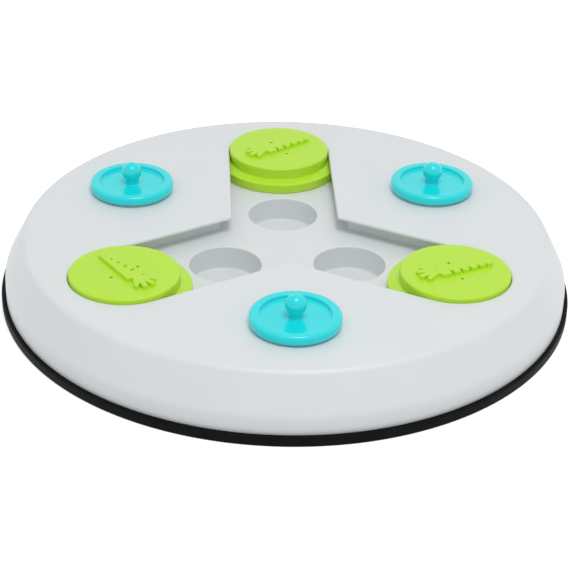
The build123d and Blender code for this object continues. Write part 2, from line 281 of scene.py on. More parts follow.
def make_piece(name, bm, material):
    """Turns a closed mesh drawn in millimetres into an object in metres, smooth but for its
    sharp edges."""
    bmesh.ops.scale(bm, vec=(MM, MM, MM), verts=bm.verts)
    bmesh.ops.recalc_face_normals(bm, faces=bm.faces)
    mesh = bpy.data.meshes.new(name)
    bm.to_mesh(mesh)
    bm.free()
    mesh.polygons.foreach_set("use_smooth", [True] * len(mesh.polygons))
    mesh.set_sharp_from_angle(angle=radians(SHARP))
    mesh.materials.append(material)
    piece = bpy.data.objects.new(name, mesh)
    bpy.context.scene.collection.objects.link(piece)
    return piece


# Satin grey: wide, soft highlights with no clear reflection of anything around it
grey_abs = moulded_plastic(
    "moulded_abs_light_grey",
    ABS_GREY,
    roughness=0.42,
    grain=0.45,
    grain_depth=0.006,
    sink_depth=0.25,
)
outer_screws = [polar(SCREW_OUT_D, turn) for turn in range(0, 360, 60)]
inner_screws = [polar(SCREW_IN_D, turn) for turn in LID_TURNS]

bm = bmesh.new()
rim_section = rounded(
    [
        (TONGUE_R - TONGUE_GAP, BASE_Z, 0),
        (TONGUE_R - TONGUE_GAP, BASE_Z + TONGUE_H + TONGUE_GAP, 0),
        (TONGUE_R + TONGUE_W + TONGUE_GAP, BASE_Z + TONGUE_H + TONGUE_GAP, 0),
        (TONGUE_R + TONGUE_W + TONGUE_GAP, BASE_Z, 0),
        (BASE_R, BASE_Z, FINE_EDGE),
        (BASE_R, BASE_TOP_Z, FINE_EDGE),
        (LOCATOR_R, BASE_TOP_Z, 0),
        (LOCATOR_R, LOCATOR_TOP_Z, FINE_EDGE),
        (LOCATOR_R - LOCATOR_T, LOCATOR_TOP_Z, FINE_EDGE),
        (LOCATOR_R - LOCATOR_T, BASE_TOP_Z, 0),
    ],
    steps=2,
)
rim_rows = lathe(bm, rim_section, count=256)
stack(bm, rim_rows)
under_rows, top_rows = [rim_rows[0]], [rim_rows[-1]]

# Screw bosses, recessed for the heads
bosses = [(place, OUTER_SEAT_Z, OUTER_BOSS_Z) for place in outer_screws]
bosses += [(place, INNER_SEAT_Z, TRAY_Z) for place in inner_screws]
for place, seat_z, boss_top_z in bosses:
    boss_section = rounded(
        [
            (SEAT_R, BASE_Z, 0),
            (SEAT_R, seat_z, 0),
            (SCREW_HOLE_R, seat_z, 0),
            (SCREW_HOLE_R, boss_top_z, 0),
            (BASE_BOSS_R, boss_top_z, FINE_EDGE),
            (BASE_BOSS_R, BASE_TOP_Z, 0),
        ],
        steps=2,
    )
    boss_rows = lathe(bm, boss_section, count=32, at=place)
    stack(bm, boss_rows)
    under_rows.append(boss_rows[0])
    top_rows.append(boss_rows[-1])

# The ribs: three thin walls that meet in the middle
rib_outline = []
for turn in ARM_TURNS:
    side = Vector(polar(RIB_T / 2, turn + 90))
    end = Vector(polar(SLIDER_D + POCKET_R, turn))
    rib_outline += [tuple(end - side), tuple(end + side), polar(RIB_T / sqrt(3), turn + 60)]
rib_foot = row(bm, rib_outline, BASE_TOP_Z)
rib_crest = row(bm, rib_outline, CUP_Z)
bridge(bm, rib_foot, rib_crest)
fill(bm, [rib_crest], CUP_Z, spacing=9)
top_rows.append(rib_foot)
fill(bm, top_rows, BASE_TOP_Z, spacing=9)
fill(bm, under_rows, BASE_Z, spacing=9)

plate = make_piece("base_plate_moulding", bm, grey_abs)
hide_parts("base_plate")
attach(plate, "board")


# ---- Rubber ring ----------------------------------------------------------------------------
# One EPDM rubber ring, pressed by its tongue into the base plate's groove. Its sole is the
# only thing that touches the floor, and its outer lip hides the joint of plate and shell.
BOARD_R = 150.0
RING_H = 5.4
SOLE_T = 1.6
SOLE_R = 139.5
LIP_GAP = 0.15  # between the lip and the shell's foot
SKIRT_R = 147.7
RUBBER_EDGE = 0.7
RUBBER_FINE_EDGE = 0.3
TONGUE_EDGE = 0.2
RUBBER_BLACK = "08090A"
BLOOM_GREY = "131415"
RUBBER_GRAIN = 0.8
BLOOM_SPACING = 12


def moulded_rubber(name, colour, grain):
    """Compression-moulded EPDM: near black and dull, so that it takes almost no highlight, with
    a coarse skin and a faint grey bloom in patches. The grain's spacing is in millimetres."""
    material = bpy.data.materials.new(name)
    tree = empty_tree(material)
    place = add(tree, "ShaderNodeTexCoord")
    skin = add(
        tree,
        "ShaderNodeTexNoise",
        inputs={"Vector": (place, "Object"), "Scale": 1 / (grain * MM), "Detail": 4.0},
    )
    bloom = add(
        tree,
        "ShaderNodeTexNoise",
        inputs={"Vector": (place, "Object"), "Scale": 1 / (BLOOM_SPACING * MM), "Detail": 5.0},
    )
    tint = add(tree, "ShaderNodeValToRGB", inputs={"Fac": (bloom, "Fac")})
    tint.color_ramp.elements[0].position = 0.35
    tint.color_ramp.elements[0].color = linear(colour)
    tint.color_ramp.elements[1].position = 0.8
    tint.color_ramp.elements[1].color = linear(BLOOM_GREY)
    dull = add(
        tree,
        "ShaderNodeMapRange",
        inputs={"Value": (skin, "Fac"), "To Min": 0.42, "To Max": 0.62},
    )
    bump = add(
        tree,
        "ShaderNodeBump",
        inputs={"Height": (skin, "Fac"), "Strength": 1.0, "Distance": 0.02 * MM},
    )
    shader = add(
        tree,
        "ShaderNodeBsdfPrincipled",
        inputs={
            "Base Color": (tint, "Color"),
            "Roughness": (dull, "Result"),
            "Specular IOR Level": 0.06,
            "Normal": (bump, "Normal"),
        },
    )
    add(tree, "ShaderNodeOutputMaterial", inputs={"Surface": (shader, "BSDF")})
    return material


black_rubber = moulded_rubber("epdm_rubber_black", RUBBER_BLACK, RUBBER_GRAIN)
bm = bmesh.new()
ring_section = rounded(
    [
        (SOLE_R, SOLE_T / 2, 0),
        (SOLE_R, 0, RUBBER_FINE_EDGE),
        (BOARD_R, 0, RUBBER_EDGE),
        (BOARD_R, RING_H, RUBBER_EDGE),
        (SKIRT_R + LIP_GAP, RING_H, RUBBER_FINE_EDGE),
        (SKIRT_R + LIP_GAP, SOLE_T, 0),
        (TONGUE_R + TONGUE_W, SOLE_T, 0),
        (TONGUE_R + TONGUE_W, SOLE_T + TONGUE_H, TONGUE_EDGE),
        (TONGUE_R, SOLE_T + TONGUE_H, TONGUE_EDGE),
        (TONGUE_R, SOLE_T, 0),
        (SOLE_R, SOLE_T, RUBBER_FINE_EDGE),
        (SOLE_R, SOLE_T / 2, 0),
    ]
)
ring_rows = lathe(bm, ring_section[:-1], count=288)
stack(bm, ring_rows + ring_rows[:1])
rubber_ring = make_piece("rubber_ring", bm, black_rubber)
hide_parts("non_slip_ring")
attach(rubber_ring, "board")


# ---- Channel tray ---------------------------------------------------------------------------
# A second grey moulding between plate and shell: the Y-shaped channel floor that shows through
# the deck, the guide walls for the sliders' feet, six treat pockets that hang below as cups, and
# an ear round each inner screw.
POCKET_IN_D = 37.4
FLOOR_Z = 23.3
TRAY_HALF = 41.0
EAR_R = 6.0
GUIDE_HALF = 34.8
GUIDE_T = 1.8
GUIDE_TIP_R = 0.5
GUIDE_TOP_Z = 30.75  # just under the deck
POCKET_FLOOR_Z = 10.2
POCKET_T = 1.8
POCKET_FILLET = 1.2
POCKET_LIP_R = 0.5


def channel_outline(half, tip_r=0.0, ear=None, end_steps=48, side_steps=24, tip_steps=12):
    """The outline of three round-ended arms that meet in the middle, each 2 * half wide. The
    corners between the arms are rounded to tip_r, or carry an ear (its distance, its radius).
    Every outline has the same number of points."""
    points = []
    for turn in ARM_TURNS:
        end = polar(SLIDER_D, turn)
        for i in range(end_steps + 1):
            x, y = polar(half, turn - 90 + 180 * i / end_steps)
            points.append((end[0] + x, end[1] + y))
        if ear:
            bend_r = ear[1]
            tip = polar(ear[0], turn + 60)
            sweep = 120 + 2 * degrees(asin((ear[0] * sin(radians(60)) - half) / bend_r))
            first = turn + 60 - sweep / 2
        else:
            bend_r = tip_r
            tip = polar((half + tip_r) / sin(radians(60)), turn + 60)
            sweep = -60
            first = turn + 270
        bend = []
        for i in range(tip_steps + 1):
            x, y = polar(bend_r, first + sweep * i / tip_steps)
            bend.append((tip[0] + x, tip[1] + y))
        after = Vector(polar(SLIDER_D, turn + 120)) + Vector(polar(half, turn + 30))
        for start, stop in ((points[-1], bend[0]), (bend[-1], after)):
            side = [Vector(start).lerp(Vector(stop), i / side_steps) for i in range(1, side_steps)]
            points += [tuple(p) for p in side] + (bend if stop is bend[0] else [])
    return points


pocket_places = [polar(d, turn) for d in (POCKET_IN_D, SLIDER_D) for turn in ARM_TURNS]

bm = bmesh.new()
edge_rows = []
for z, back in (
    (FLOOR_Z, FINE_EDGE),
    (FLOOR_Z - FINE_EDGE, 0),
    (TRAY_Z + FINE_EDGE, 0),
    (TRAY_Z, FINE_EDGE),
):
    outline = channel_outline(TRAY_HALF - back, ear=(SCREW_IN_D, EAR_R - back))
    edge_rows.append(row(bm, outline, z))
stack(bm, edge_rows)
floor_rows, under_rows = [edge_rows[0]], [edge_rows[-1]]

# Guide walls, with a crisp corner between the arms
guide_section = (
    (GUIDE_HALF, FLOOR_Z),
    (GUIDE_HALF, GUIDE_TOP_Z - FINE_EDGE),
    (GUIDE_HALF + FINE_EDGE, GUIDE_TOP_Z),
    (GUIDE_HALF + GUIDE_T - FINE_EDGE, GUIDE_TOP_Z),
    (GUIDE_HALF + GUIDE_T, GUIDE_TOP_Z - FINE_EDGE),
    (GUIDE_HALF + GUIDE_T, FLOOR_Z),
)
guide_rows = [row(bm, channel_outline(half, GUIDE_TIP_R), z) for half, z in guide_section]
stack(bm, guide_rows)
floor_rows += [guide_rows[0], guide_rows[-1]]

pocket_section = rounded(
    [
        (POCKET_R + 2 * POCKET_LIP_R, FLOOR_Z, 0),
        (POCKET_R, FLOOR_Z, POCKET_LIP_R),
        (POCKET_R, POCKET_FLOOR_Z, POCKET_FILLET),
        (0, POCKET_FLOOR_Z, 0),
    ]
)
cup_section = rounded(
    [
        (POCKET_R + POCKET_T, TRAY_Z, 0),
        (POCKET_R + POCKET_T, POCKET_FLOOR_Z - POCKET_T, POCKET_FILLET),
        (0, POCKET_FLOOR_Z - POCKET_T, 0),
    ]
)
for place in pocket_places:
    pocket_rows = lathe(bm, pocket_section[:-1], count=96, at=place)
    stack(bm, pocket_rows)
    fill(bm, [pocket_rows[-1]], POCKET_FLOOR_Z, spacing=4)
    floor_rows.append(pocket_rows[0])
    cup_rows = lathe(bm, cup_section[:-1], count=96, at=place)
    stack(bm, cup_rows)
    fill(bm, [cup_rows[-1]], POCKET_FLOOR_Z - POCKET_T, spacing=4)
    under_rows.append(cup_rows[0])
for place in inner_screws:
    hole_section = [(SCREW_HOLE_R, FLOOR_Z), (SCREW_HOLE_R, TRAY_Z)]
    hole_rows = lathe(bm, hole_section, count=32, at=place)
    stack(bm, hole_rows)
    floor_rows.append(hole_rows[0])
    under_rows.append(hole_rows[-1])
fill(bm, floor_rows, FLOOR_Z, spacing=5)
fill(bm, under_rows, TRAY_Z, spacing=6)

tray = make_piece("channel_tray_moulding", bm, grey_abs)
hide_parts("channel_tray")
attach(tray, "board")


# ---- Sliders --------------------------------------------------------------------------------
# Three lime green ABS covers, each one moulding: a round button that stands in the channel, a
# wider foot that is captive under the deck, a carrot in relief and a scent hole on each side
# of it. They are the same moulding, turned differently as they lie.
BUTTON_TURNS = (29, 130, 17)
BUTTON_R = 28.1
BUTTON_TOP_Z = 35.6
BUTTON_EDGE = 0.9
TOP_BAND = 3.0  # between the top's even triangles and its edge
NECK_Z = 29.4
NECK_FILLET = 0.3
FOOT_R = 34.0
FOOT_TOP_Z = 28.4
FOOT_EDGE = 0.4
FOOT_Z = 23.5
SLIDER_WALL = 2.2
HOLLOW_FILLET = 0.5
SCENT_HOLE_R = 0.8
SCENT_HOLE_D = 8.4
CARROT_H = 2.0
CARROT_EDGE = 0.45
CARROT_LEAN = 0.17  # how far the drafted side leans in over its height
CARROT_TIP_X = 20.5
CARROT_TIP_R = 1.4
CARROT_SHOULDER_X = -8.0
CARROT_HALF = 5.3
CROWN_R = 1.6
CROWN_ARC = (82, 190)  # from the body's side round to the leaves
NOTCH_W = 1.1
NOTCH_X = (-3.2, 2.0, 7.0, 12.0, 16.4)
NOTCH_SHARE = 0.65
LEAF_ROOT_X = -9.1
LEAF_R = 1.5
LEAF_ANGLES = (144, 168, 192, 216)
LEAF_LENGTHS = (10.5, 12.0, 12.0, 10.5)
LEAF_FOOT = (-10.3, 2.8)  # where the first leaf leaves the carrot's crown
LIME_GREEN = "B4E228"


def carrot_outline():
    """The carrot seen from above, tip along +X: body, notches on its right side, four leaves."""
    tip_x = CARROT_TIP_X - CARROT_TIP_R
    lean = (CARROT_TIP_R - CARROT_HALF) / (tip_x - CARROT_SHOULDER_X)
    points = []
    for x in NOTCH_X:
        for edge in (x - NOTCH_W / 2, x + NOTCH_W / 2):
            half = CARROT_HALF + lean * (edge - CARROT_SHOULDER_X)
            depth = (1 - NOTCH_SHARE) * (CARROT_HALF + lean * (x - CARROT_SHOULDER_X))
            pair = [(edge, -half), (edge, -depth)]
            points += pair if edge < x else pair[::-1]
    points += arc((tip_x, 0), CARROT_TIP_R, -90, 90, 8)
    points += arc((CARROT_SHOULDER_X, CARROT_HALF - CROWN_R), CROWN_R, *CROWN_ARC, 5)
    points.append(LEAF_FOOT)
    valley = LEAF_R / sin(radians((LEAF_ANGLES[1] - LEAF_ANGLES[0]) / 2))
    for turn, length in zip(LEAF_ANGLES, LEAF_LENGTHS):
        x, y = polar(length - LEAF_R, turn)
        points += arc((LEAF_ROOT_X + x, y), LEAF_R, turn - 90, turn + 90, 8)
        if turn != LEAF_ANGLES[-1]:
            x, y = polar(valley, turn + (LEAF_ANGLES[1] - LEAF_ANGLES[0]) / 2)
            points.append((LEAF_ROOT_X + x, y))
    points.append((LEAF_FOOT[0], -LEAF_FOOT[1]))
    mirrored = (360 - CROWN_ARC[1], 360 - CROWN_ARC[0])
    points += arc((CARROT_SHOULDER_X, CROWN_R - CARROT_HALF), CROWN_R, *mirrored, 5)
    return points


def inset(points, distance):
    """The outline moved inwards by a distance, corner by corner."""
    moved = []
    for before, here, after in zip(points[-1:] + points[:-1], points, points[1:] + points[:1]):
        u = (Vector(here) - Vector(before)).normalized()
        v = (Vector(after) - Vector(here)).normalized()
        n = Vector((-u.y - v.y, u.x + v.x))
        n = n / max(0.5, n.length_squared / 2)
        moved.append(tuple(Vector(here) + n * distance))
    return moved


def quarter_round(radius, steps):
    """Points along an edge's quarter round: each one's distance from the face where the round
    starts, and from the face where it ends."""
    turns = [radians(90 * i / steps) for i in range(steps + 1)]
    return [(radius * (1 - cos(t)), radius * (1 - sin(t))) for t in turns]


def turned(points, turn, at):
    """Points turned about the middle and moved."""
    c, s = cos(radians(turn)), sin(radians(turn))
    return [(at[0] + x * c - y * s, at[1] + x * s + y * c) for x, y in points]


# Soft gloss: the edges catch the light, and the top shows a broad pale sheen
lime_abs = moulded_plastic(
    "moulded_abs_lime",
    LIME_GREEN,
    roughness=0.36,
    grain=0.4,
    grain_depth=0.004,
    sink_depth=0.12,
)
outline = carrot_outline()
for name, arm, turn in zip(("rear", "left", "right"), ARM_TURNS, BUTTON_TURNS):
    at = polar(SLIDER_D, arm)
    bm = bmesh.new()
    outer_section = rounded(
        [
            (BUTTON_R - TOP_BAND, BUTTON_TOP_Z, 0),
            (BUTTON_R, BUTTON_TOP_Z, BUTTON_EDGE),
            (BUTTON_R, NECK_Z, NECK_FILLET),
            (FOOT_R, FOOT_TOP_Z, FOOT_EDGE),
            (FOOT_R, FOOT_Z, FINE_EDGE),
            (FOOT_R - SLIDER_WALL, FOOT_Z, FINE_EDGE),
            (FOOT_R - SLIDER_WALL, FOOT_TOP_Z - SLIDER_WALL, HOLLOW_FILLET),
            (BUTTON_R - SLIDER_WALL, FOOT_TOP_Z - SLIDER_WALL, HOLLOW_FILLET),
            (BUTTON_R - SLIDER_WALL, BUTTON_TOP_Z - SLIDER_WALL, HOLLOW_FILLET),
            (BUTTON_R - SLIDER_WALL - TOP_BAND, BUTTON_TOP_Z - SLIDER_WALL, 0),
        ]
    )
    rows = lathe(bm, outer_section, count=144, at=at)
    stack(bm, rows)
    top_rows, under_rows = [rows[0]], [rows[-1]]
    for side in (1, -1):
        hole = turned([(0, side * SCENT_HOLE_D)], turn, at)[0]
        hole_section = [
            (SCENT_HOLE_R, BUTTON_TOP_Z),
            (SCENT_HOLE_R, BUTTON_TOP_Z - SLIDER_WALL),
        ]
        hole_rows = lathe(bm, hole_section, count=20, at=hole)
        stack(bm, hole_rows)
        top_rows.append(hole_rows[0])
        under_rows.append(hole_rows[-1])
    foot = row(bm, turned(outline, turn, at), BUTTON_TOP_Z)
    top_rows.append(foot)
    relief = [foot]
    crest = BUTTON_TOP_Z + CARROT_H
    for back, down in quarter_round(CARROT_EDGE, steps=4):
        step = inset(outline, CARROT_LEAN + back)
        relief.append(row(bm, turned(step, turn, at), crest - down))
    stack(bm, relief)
    fill(bm, [relief[-1]], crest, spacing=1.2)
    fill(bm, top_rows, BUTTON_TOP_Z, spacing=2.5)
    fill(bm, under_rows, BUTTON_TOP_Z - SLIDER_WALL, spacing=4)
    slider = make_piece(f"slider_{name}_moulding", bm, lime_abs)
    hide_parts(f"slider_{name}")
    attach(slider, f"slider_{name}")


# ---- Top shell ------------------------------------------------------------------------------
# The upper moulding, the same light grey ABS: the dished deck with the Y-shaped opening, the
# steep skirt, and three wells with low collars for the lids. Screw bosses hang below the deck.
RIM_R = 137.7  # where the skirt's slope would meet the deck
RIM_Z = 34.0
DECK_Z = 32.75  # middle of the dished deck
DECK_T = 1.7
DISH_R = (RIM_R**2 + (RIM_Z - DECK_Z) ** 2) / (2 * (RIM_Z - DECK_Z))
SKIRT_T = 2.2
BAND_TOP_R = 147.6
BAND_TOP_Z = 15.0
BAND_BEND_R = 8.0
BAND_BEND_IN_R = 2.0
RIM_FILLET = 4.0
RIM_FILLET_IN = 0.5
DECK_OUT_R = 130.0  # ring of vertices between the deck's even triangles and the rim
UNDER_OUT_R = 134.0
CHANNEL_HALF = 28.4
CHANNEL_TIP_R = 2.0
CHANNEL_EDGE = 1.2
LID_D = 95.3
WELL_R = 17.4
WELL_DRAFT = 0.35  # the well narrows this much towards its floor
WELL_T = 1.8
WELL_FLOOR_Z = 14.0
WELL_FILLET = 3.0
WELL_CUP_WALL_Z = 16.0  # from here up to the deck the outside of a well is straight
COLLAR_R = 19.4
COLLAR_TOP_Z = 34.7
COLLAR_EDGE = 0.4
COLLAR_FOOT = 0.6
SHELL_BOSS_R = 4.0
PILOT_R = 1.45
PILOT_H = 11.2  # from the screw's seat


def deck_height(x, y):
    """Height of the dished deck's top over this place."""
    return DECK_Z + DISH_R - sqrt(DISH_R**2 - x * x - y * y)


def deck_under(x, y):
    """Height of the deck's underside over this place."""
    return deck_height(x, y) - DECK_T


bm = bmesh.new()
inner_rim_r = RIM_R - SKIRT_T
skirt_section = rounded(
    [
        (DECK_OUT_R, deck_height(DECK_OUT_R, 0), 0),
        (RIM_R, RIM_Z, RIM_FILLET),
        (BAND_TOP_R, BAND_TOP_Z, BAND_BEND_R),
        (SKIRT_R, BASE_TOP_Z, FINE_EDGE),
        (SKIRT_R - SKIRT_T, BASE_TOP_Z, FINE_EDGE),
        (BAND_TOP_R - SKIRT_T, BAND_TOP_Z - SKIRT_T / 2, BAND_BEND_IN_R),
        (inner_rim_r, deck_under(inner_rim_r, 0), RIM_FILLET_IN),
        (UNDER_OUT_R, deck_under(UNDER_OUT_R, 0), 0),
    ],
    steps=8,
)
skirt_rows = lathe(bm, skirt_section, count=360)
stack(bm, skirt_rows)
top_rows, under_rows = [skirt_rows[0]], [skirt_rows[-1]]

# The channel's edge: a soft round from the deck into a thin wall
edge_rows = []
for drop, out in quarter_round(CHANNEL_EDGE, steps=6):
    points = channel_outline(CHANNEL_HALF + out, CHANNEL_TIP_R - out)
    edge_rows.append(row(bm, points, lambda x, y: deck_height(x, y) - drop))
for out, rise in ((0, FINE_EDGE), (FINE_EDGE, 0)):
    points = channel_outline(CHANNEL_HALF + out, CHANNEL_TIP_R - out)
    edge_rows.append(row(bm, points, lambda x, y: deck_under(x, y) + rise))
stack(bm, edge_rows)
top_rows.append(edge_rows[0])
under_rows.append(edge_rows[-1])

# Wells: collar, mouth, drafted wall and floor, then the cup from below
well_section = rounded(
    [
        (COLLAR_R, deck_height(LID_D, 0), 0),
        (COLLAR_R, COLLAR_TOP_Z, COLLAR_EDGE),
        (WELL_R, COLLAR_TOP_Z, COLLAR_EDGE),
        (WELL_R - WELL_DRAFT, WELL_FLOOR_Z, WELL_FILLET),
        (0, WELL_FLOOR_Z, 0),
    ]
)
well_cup_section = rounded(
    [
        (WELL_R + WELL_T, WELL_CUP_WALL_Z, 0),
        (WELL_R + WELL_T, WELL_FLOOR_Z - WELL_T, WELL_FILLET),
        (0, WELL_FLOOR_Z - WELL_T, 0),
    ]
)
for turn in LID_TURNS:
    at = polar(LID_D, turn)
    foot_rows = []
    for up, out in quarter_round(COLLAR_FOOT, steps=3):
        points = circle(COLLAR_R + out, 96, at)
        foot_rows.append(row(bm, points, lambda x, y: deck_height(x, y) + up))
    well_rows = lathe(bm, well_section[1:-1], count=96, at=at)
    stack(bm, foot_rows + well_rows)
    fill(bm, [well_rows[-1]], WELL_FLOOR_Z, spacing=4)
    top_rows.append(foot_rows[0])
    neck = row(bm, circle(WELL_R + WELL_T, 96, at), deck_under)
    cup_rows = lathe(bm, well_cup_section[:-1], count=96, at=at)
    stack(bm, [neck] + cup_rows)
    fill(bm, [cup_rows[-1]], WELL_FLOOR_Z - WELL_T, spacing=4)
    under_rows.append(neck)

# Screw bosses with their pilot holes
bosses = [(place, OUTER_BOSS_Z, OUTER_SEAT_Z) for place in outer_screws]
bosses += [(place, FLOOR_Z, INNER_SEAT_Z) for place in inner_screws]
for place, foot_z, seat_z in bosses:
    neck = row(bm, circle(SHELL_BOSS_R, 32, place), deck_under)
    boss_section = [(SHELL_BOSS_R, foot_z), (PILOT_R, foot_z), (PILOT_R, seat_z + PILOT_H)]
    boss_rows = lathe(bm, boss_section, count=32, at=place)
    stack(bm, [neck] + boss_rows)
    fill(bm, [boss_rows[-1]], seat_z + PILOT_H, spacing=4)
    under_rows.append(neck)

fill(bm, top_rows, deck_height, spacing=4)
fill(bm, under_rows, deck_under, spacing=6)
shell = make_piece("top_shell_moulding", bm, grey_abs)
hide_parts("top_shell")
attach(shell, "board")


# ---- Screws ---------------------------------------------------------------------------------
# Nine self-tapping pan-head screws of zinc-plated steel, driven from below through the base
# plate: six near the rim, and three in the tall bosses that also clamp the tray. Each was
# stopped where it was tight, so their cross recesses stand at chance angles.
SCREW_SIZES = {
    "Head radius": 2.8,
    "Head height": 2.0,
    "Shank radius": 1.4,
    "Shank length": 9.0,
    "Point length": 2.0,
    "Cross length": 3.2,
    "Cross width": 0.8,
    "Cross depth": 1.1,
    "Outer ring radius": SCREW_OUT_D,
    "Outer seat height": OUTER_SEAT_Z,
    "Inner ring radius": SCREW_IN_D,
    "Inner seat height": INNER_SEAT_Z,
}
HEAD_PROFILE = ((-1.0, 0.7), (-0.93, 0.8), (-0.7, 0.9), (0.0, 1.0))  # shares of height, radius
POINT_SHARE = 0.25  # of the shank's radius
SCREW_SHARP = 25  # degrees
SCREW_SEED = 5
ZINC = "B4B8BC"
SPANGLE_SPACING = 0.9


def zinc_steel(name, colour):
    """Zinc-plated steel: bright grey metal whose plating is slightly milky and uneven, so that
    its reflections are blurred more in some spots than in others."""
    material = bpy.data.materials.new(name)
    tree = empty_tree(material)
    place = add(tree, "ShaderNodeTexCoord")
    spangle = add(
        tree,
        "ShaderNodeTexNoise",
        inputs={"Vector": (place, "Object"), "Scale": 1 / (SPANGLE_SPACING * MM), "Detail": 3.0},
    )
    dull = add(
        tree,
        "ShaderNodeMapRange",
        inputs={"Value": (spangle, "Fac"), "To Min": 0.24, "To Max": 0.5},
    )
    shader = add(
        tree,
        "ShaderNodeBsdfPrincipled",
        inputs={"Base Color": linear(colour), "Metallic": 1.0, "Roughness": (dull, "Result")},
    )
    add(tree, "ShaderNodeOutputMaterial", inputs={"Surface": (shader, "BSDF")})
    return material


group = bpy.data.node_groups.new("pan_head_screws", "GeometryNodeTree")
group.interface.new_socket("Geometry", in_out="OUTPUT", socket_type="NodeSocketGeometry")
keys = {}
for label in SCREW_SIZES:
    socket = group.interface.new_socket(label, in_out="INPUT", socket_type="NodeSocketFloat")
    keys[label] = socket.identifier
for label, kind in (("Seed", "NodeSocketInt"), ("Material", "NodeSocketMaterial")):
    socket = group.interface.new_socket(label, in_out="INPUT", socket_type=kind)
    keys[label] = socket.identifier
given = group.nodes.new("NodeGroupInput")


def share(label, factor):
    """A size of the screw, times a factor."""
    sizes = {0: (given, label), 1: factor}
    return add(group, "ShaderNodeMath", {"operation": "MULTIPLY"}, sizes), "Value"


def moved_up(geometry, height, turn=0.0):
    """Geometry moved up by a height and turned about the upright axis."""
    lift = add(group, "ShaderNodeCombineXYZ", inputs={"Z": height})
    inputs = {"Geometry": geometry, "Translation": (lift, "Vector"), "Rotation": (0, 0, turn)}
    return add(group, "GeometryNodeTransform", inputs=inputs), "Geometry"


def frustum(foot_r, top_r, length, foot_z):
    """A stretch of the screw between two radii."""
    inputs = {"Radius Bottom": foot_r, "Radius Top": top_r, "Depth": length, "Vertices": 40}
    return moved_up((add(group, "GeometryNodeMeshCone", inputs=inputs), "Mesh"), foot_z)


solid = add(group, "GeometryNodeMeshBoolean", {"operation": "UNION", "solver": "EXACT"})
stretches = []
for (low, foot_r), (high, top_r) in zip(HEAD_PROFILE, HEAD_PROFILE[1:]):
    radii = share("Head radius", foot_r), share("Head radius", top_r)
    stretches.append(frustum(*radii, share("Head height", high - low), share("Head height", low)))
shank_r = share("Shank radius", 1.0)
stretches.append(frustum(shank_r, shank_r, share("Shank length", 1.0), 0.0))
point_r = share("Shank radius", POINT_SHARE)
stretches.append(frustum(shank_r, point_r, share("Point length", 1.0), (given, "Shank length")))
for node, output in stretches:
    group.links.new(node.outputs[output], solid.inputs["Mesh 2"])
screw = add(
    group,
    "GeometryNodeMeshBoolean",
    {"operation": "DIFFERENCE", "solver": "EXACT"},
    {"Mesh 1": (solid, "Mesh")},
)
for turn in (0, 90):
    bar = {"X": (given, "Cross length"), "Y": (given, "Cross width")}
    bar["Z"] = share("Cross depth", 2.0)
    size = add(group, "ShaderNodeCombineXYZ", inputs=bar)
    cube = add(group, "GeometryNodeMeshCube", inputs={"Size": (size, "Vector")})
    node, output = moved_up((cube, "Mesh"), share("Head height", -1.0), radians(turn))
    group.links.new(node.outputs[output], screw.inputs["Mesh 2"])
places = add(group, "GeometryNodeJoinGeometry")
rings = (
    ("Outer", len(outer_screws), 0),
    ("Inner", len(inner_screws), LID_TURNS[0]),
)
for label, count, turn in rings:
    ring = {"Vertices": count, "Radius": (given, f"{label} ring radius")}
    circle_node = add(group, "GeometryNodeMeshCircle", inputs=ring)
    seat = (given, f"{label} seat height")
    node, output = moved_up((circle_node, "Mesh"), seat, radians(turn))
    group.links.new(node.outputs[output], places.inputs["Geometry"])
chance = add(
    group,
    "FunctionNodeRandomValue",
    {"data_type": "FLOAT_VECTOR"},
    {0: (0, 0, 0), 1: (0, 0, 2 * pi), "Seed": (given, "Seed")},
)
nine = add(
    group,
    "GeometryNodeInstanceOnPoints",
    inputs={
        "Points": (places, "Geometry"),
        "Instance": (screw, "Mesh"),
        "Rotation": (chance, 0),
    },
)
real = add(group, "GeometryNodeRealizeInstances", inputs={"Geometry": (nine, "Instances")})
plated = add(
    group,
    "GeometryNodeSetMaterial",
    inputs={"Geometry": (real, "Geometry"), "Material": (given, "Material")},
)
out = group.nodes.new("NodeGroupOutput")
group.links.new(plated.outputs["Geometry"], out.inputs["Geometry"])

carrier = bpy.data.objects.new("screws", bpy.data.meshes.new("screws"))
bpy.context.scene.collection.objects.link(carrier)
modifier = carrier.modifiers.new("screws", "NODES")
modifier.node_group = group
for label, size in SCREW_SIZES.items():
    modifier[keys[label]] = size * MM
modifier[keys["Seed"]] = SCREW_SEED
modifier[keys["Material"]] = zinc_steel("zinc_plated_steel", ZINC)
graph = bpy.context.evaluated_depsgraph_get()
screws_mesh = bpy.data.meshes.new_from_object(carrier.evaluated_get(graph), depsgraph=graph)
carrier.modifiers.remove(modifier)
carrier.data = screws_mesh
screws_mesh.polygons.foreach_set("use_smooth", [True] * len(screws_mesh.polygons))
screws_mesh.set_sharp_from_angle(angle=radians(SCREW_SHARP))
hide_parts("housing_screws")
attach(carrier, "board")


# ---- Lids -----------------------------------------------------------------------------------
# Three turquoise ABS lids that lift off the wells, polished in the mould: a raised rim round a
# sunk face, a ball knob on a short peg, and a spigot that drops into the well.
LID_R = 22.5
LID_Z = 34.7
LID_H = 4.8
LID_EDGE = 1.8
LID_FOOT_EDGE = 0.8
SEAT_FILLET = 0.3
FACE_R = 17.5
FACE_Z = 37.5
FACE_T = 2.0
FACE_FILLET = 0.5
FACE_EDGE = 0.6
SPIGOT_R = 17.0
SPIGOT_T = 1.8
SPIGOT_H = 5.0
SPIGOT_EDGE = 0.4
ROOF_FILLET = 0.6
ROOF_BAND = 2.0
PEG_R = 3.6
PEG_FILLET = 0.5
BALL_R = 5.3
BALL_Z = 44.3
TURQUOISE = "10DCE2"

